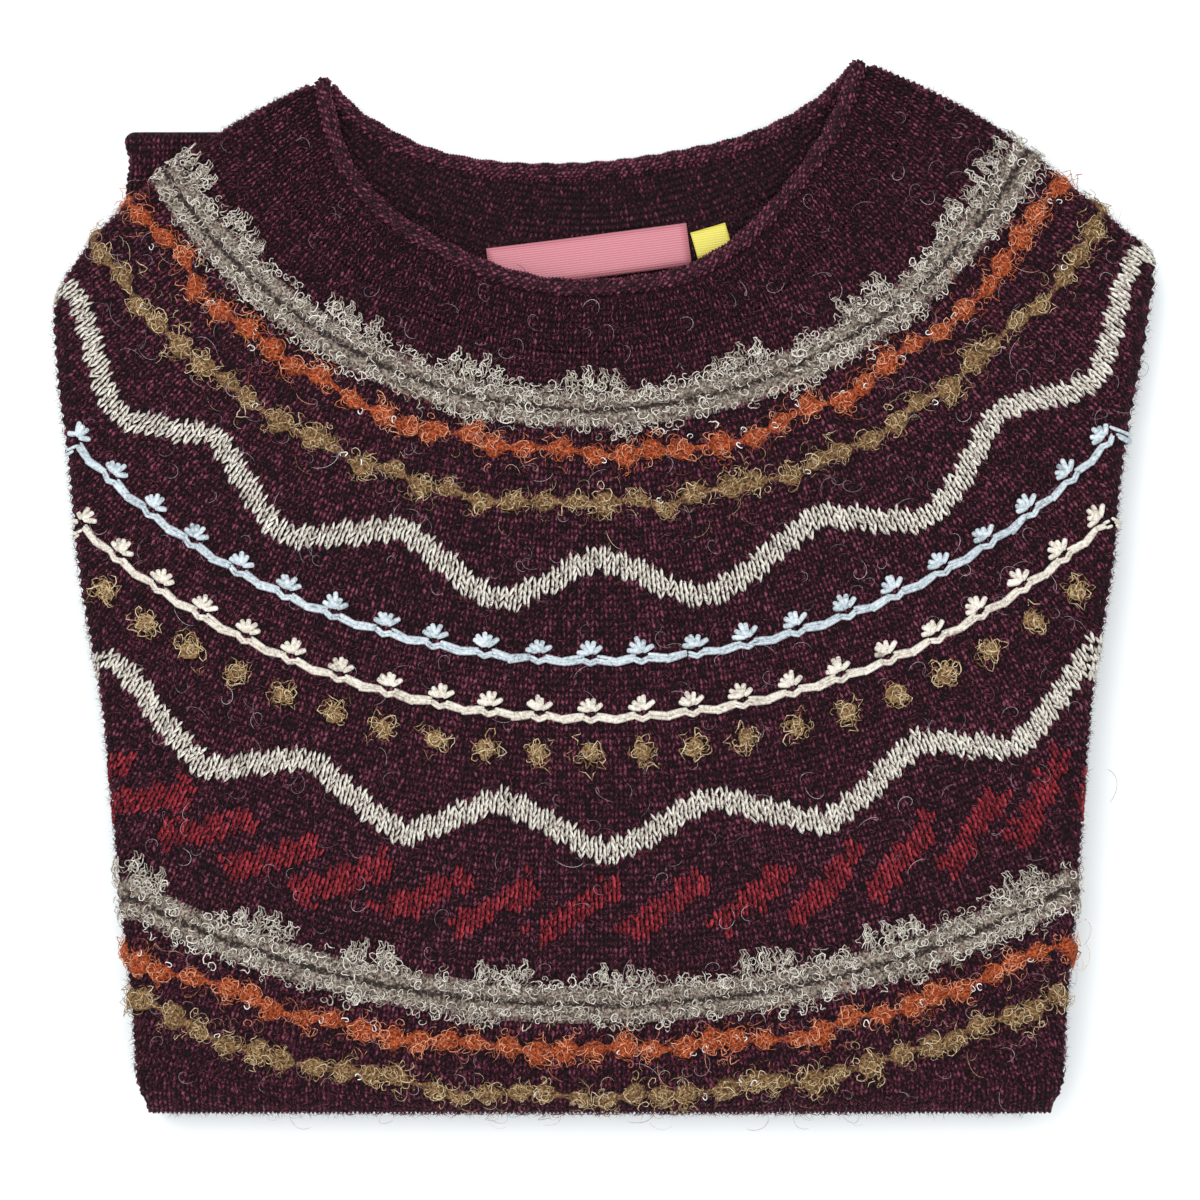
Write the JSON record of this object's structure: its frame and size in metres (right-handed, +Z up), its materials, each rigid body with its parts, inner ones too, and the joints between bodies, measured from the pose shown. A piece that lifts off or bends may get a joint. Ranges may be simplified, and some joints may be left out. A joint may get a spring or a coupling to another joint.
{
  "type": "folded fair isle jumper",
  "caption": "Round-yoke fair isle wool jumper, folded flat for a shelf, front up, with raised bouclé bands and a rolled neck edge.",
  "frame": {"origin": "centre of the bounding box in plan, on the surface that the folded jumper lies on", "axes": "+Z is up out of the surface, +X runs across the chest to the viewer's right, +Y runs from the bottom fold to the neck"},
  "size_m": [0.407, 0.3889, 0.0298],
  "materials": {
    "wine_knit": "heathered fluffy wool stocking stitch",
    "rib_knit": "heathered wool rib with a rolled edge",
    "inside_knit": "inside of the wool knit",
    "grey_loop_yarn": "curly grey loop yarn",
    "orange_loop_yarn": "orange loop yarn",
    "gold_loop_yarn": "gold-brown loop yarn",
    "cream_yarn": "cream wool stitches",
    "pale_blue_yarn": "pale blue wool chain and tufts",
    "red_yarn": "brushed red wool dashes",
    "pink_label": "smooth woven label, no text",
    "yellow_tab": "smooth woven tab, no text"
  },
  "bodies": {
    "root": {"front": "wine_knit", "hem_rib": "rib_knit", "neck_band_front": "rib_knit", "neck_band_back": "inside_knit", "back": "inside_knit", "neck_roll_front": "rib_knit", "neck_roll_back": "rib_knit", "folded_layers": "inside_knit", "left_sleeve": "wine_knit", "right_sleeve": "wine_knit", "neck_label": "pink_label", "size_tab": "yellow_tab", "grey_band_upper": "grey_loop_yarn", "orange_band_upper": "orange_loop_yarn", "gold_band_upper": "gold_loop_yarn", "grey_band_lower": "grey_loop_yarn", "orange_band_lower": "orange_loop_yarn", "gold_band_lower": "gold_loop_yarn", "gold_dot_01": "gold_loop_yarn", "gold_dot_02": "gold_loop_yarn", "gold_dot_03": "gold_loop_yarn", "gold_dot_04": "gold_loop_yarn", "gold_dot_05": "gold_loop_yarn", "gold_dot_06": "gold_loop_yarn", "gold_dot_07": "gold_loop_yarn", "gold_dot_08": "gold_loop_yarn", "gold_dot_09": "gold_loop_yarn", "gold_dot_10": "gold_loop_yarn", "gold_dot_11": "gold_loop_yarn", "gold_dot_12": "gold_loop_yarn", "gold_dot_13": "gold_loop_yarn", "gold_dot_14": "gold_loop_yarn", "gold_dot_15": "gold_loop_yarn", "gold_dot_16": "gold_loop_yarn", "gold_dot_17": "gold_loop_yarn", "gold_dot_18": "gold_loop_yarn", "gold_dot_19": "gold_loop_yarn", "gold_dot_20": "gold_loop_yarn"}
  },
  "joints": []
}
